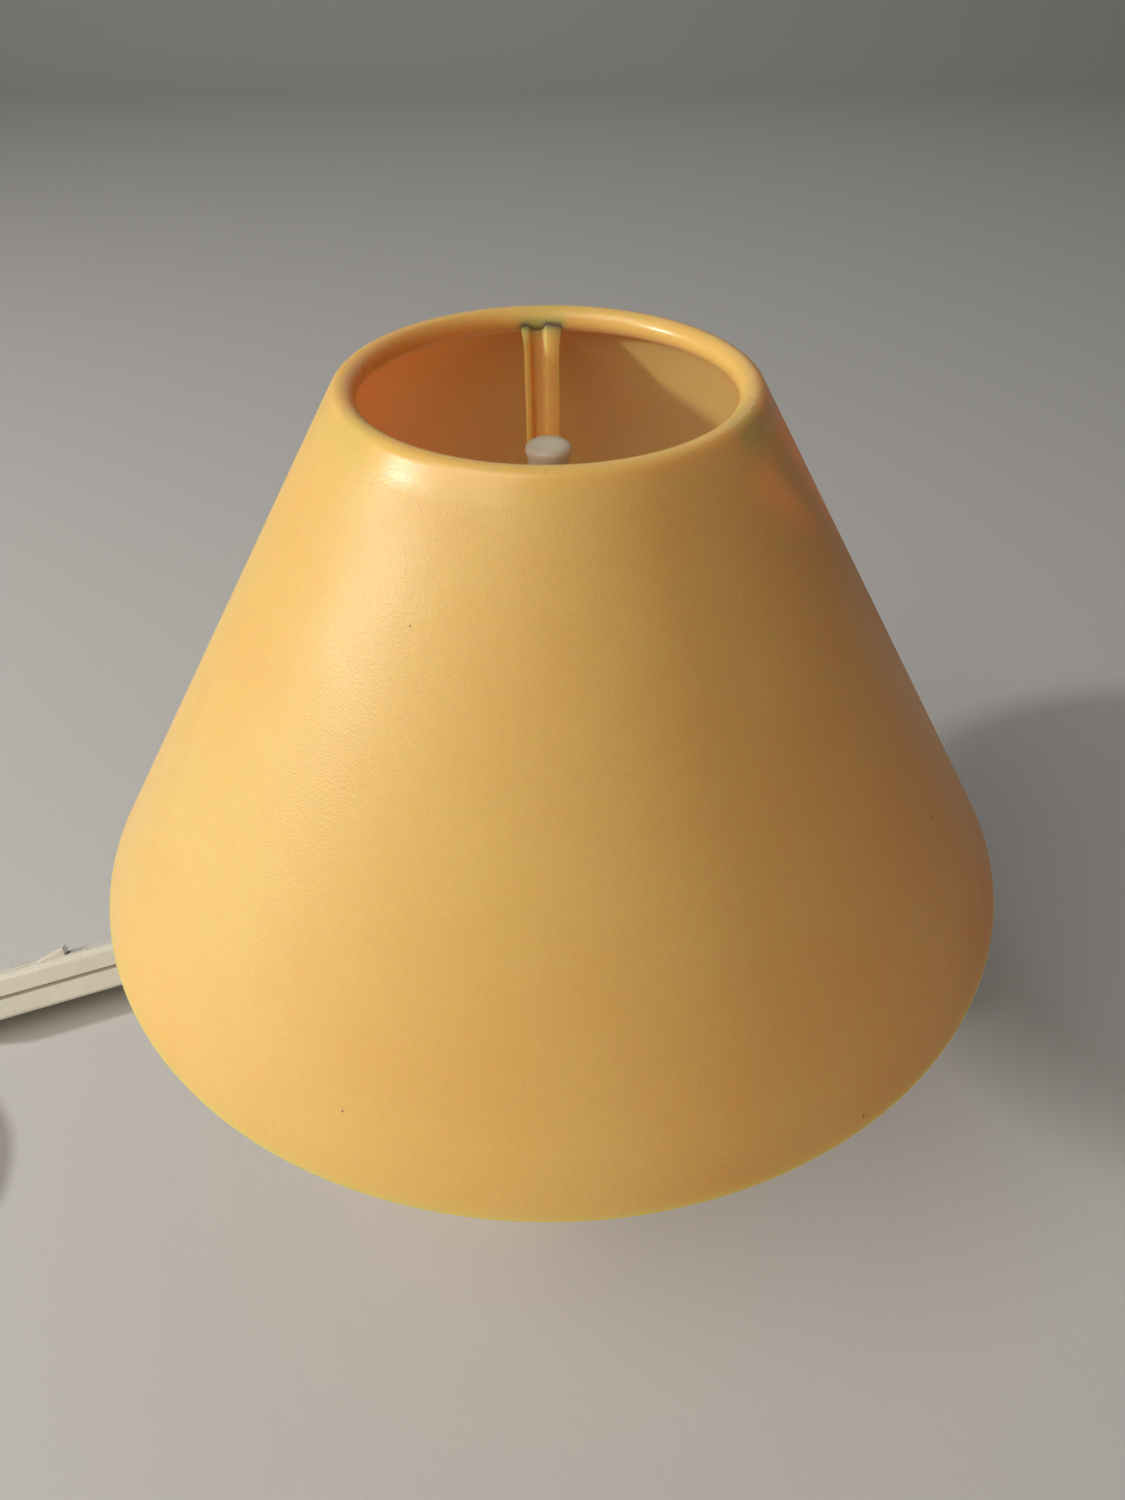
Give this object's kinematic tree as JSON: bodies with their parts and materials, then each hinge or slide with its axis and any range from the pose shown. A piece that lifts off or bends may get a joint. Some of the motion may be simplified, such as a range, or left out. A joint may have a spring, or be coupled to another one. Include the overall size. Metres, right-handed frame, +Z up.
{
  "type": "table lamp",
  "caption": "Small table lamp: conical translucent plastic shade on moulded legs over a candle bulb, weighted base, mains cord with rocker switch and plug.",
  "frame": {"origin": "middle of the base where it stands on the table", "axes": "+Z up along the lamp's axis; the cord leaves towards -X and +Y, and -Y is the front"},
  "size_m": [0.3511, 0.2426, 0.206],
  "materials": {
    "shade_plastic": "satin, finely grained",
    "base_plastic": "satin, finely grained",
    "ivory_plastic": "satin moulded",
    "ivory_flexible": "soft moulded",
    "dark_plastic": "moulded",
    "steel": "zinc plated",
    "rubber": "matt",
    "ceramic_white": "unglazed",
    "brass": "plain",
    "bulb_glass": "frosted inside",
    "stem_glass": "clear",
    "wire": "drawn",
    "cap_metal": "nickel-washed",
    "dark_glass": "opaque",
    "solder": "dull",
    "cord_sheath": "smooth flexible sheath",
    "brown_lead": "insulation",
    "blue_lead": "insulation",
    "tie_plastic": "paper-covered wire",
    "pin_metal": "nickel plated"
  },
  "bodies": {
    "root": {"base_foot": "base_plastic", "stem": "base_plastic", "bottom_cover": "dark_plastic", "cover_screws": "steel", "foot_pads": "rubber", "ballast_plate": "steel", "cord_bush": "ivory_flexible", "cord_clamp": "dark_plastic", "clamp_screws": "steel", "nipple": "steel", "nipple_washer": "steel", "nipple_nut": "steel", "holder_skirt": "ivory_plastic", "holder_shell": "ivory_plastic", "holder_core": "ceramic_white", "contact_shell": "brass", "centre_contact": "brass", "terminal_blocks": "brass", "terminal_screws": "steel", "switch_lower": "ivory_plastic", "switch_upper": "ivory_plastic", "rocker_pin": "steel", "fixed_contacts": "brass", "switch_bushes": "ivory_flexible", "switch_screws": "steel", "cord_end": "cord_sheath", "live_lead": "brown_lead", "neutral_lead": "blue_lead", "lamp_cord": "cord_sheath", "mains_cord": "cord_sheath", "cord_coil": "cord_sheath", "coil_tie": "tie_plastic", "cord_tail": "cord_sheath", "plug_relief": "ivory_flexible", "plug_body": "ivory_plastic", "plug_pins": "pin_metal", "pin_sleeves": "dark_plastic"},
    "shade": {"shade": "shade_plastic"},
    "shade_ring": {"shade_ring": "ivory_plastic"},
    "bulb": {"bulb_glass": "bulb_glass", "bulb_stem": "stem_glass", "bulb_filament": "wire", "bulb_cap": "cap_metal", "cap_insulator": "dark_glass", "cap_tip": "solder"},
    "rocker": {"switch_rocker": "ivory_plastic"}
  },
  "joints": [
    {"name": "shade_turn", "type": "hinge", "parent": "root", "child": "shade", "pos_m": [0, 0, 0.1135], "axis": [0, 0, 1], "continuous": true},
    {"name": "ring_turn", "type": "hinge", "parent": "root", "child": "shade_ring", "pos_m": [0, 0, 0.1183], "axis": [0, 0, 1], "continuous": true},
    {"name": "bulb_out", "type": "slide", "parent": "root", "child": "bulb", "axis": [0, 0, 1], "range_m": [0, 0.028]},
    {"name": "rocker_tip", "type": "hinge", "parent": "root", "child": "rocker", "pos_m": [-0.15435, 0.02682, 0.0129], "axis": [-0.2775, 0.714, -0.6428], "range_deg": [0, 14]}
  ]
}
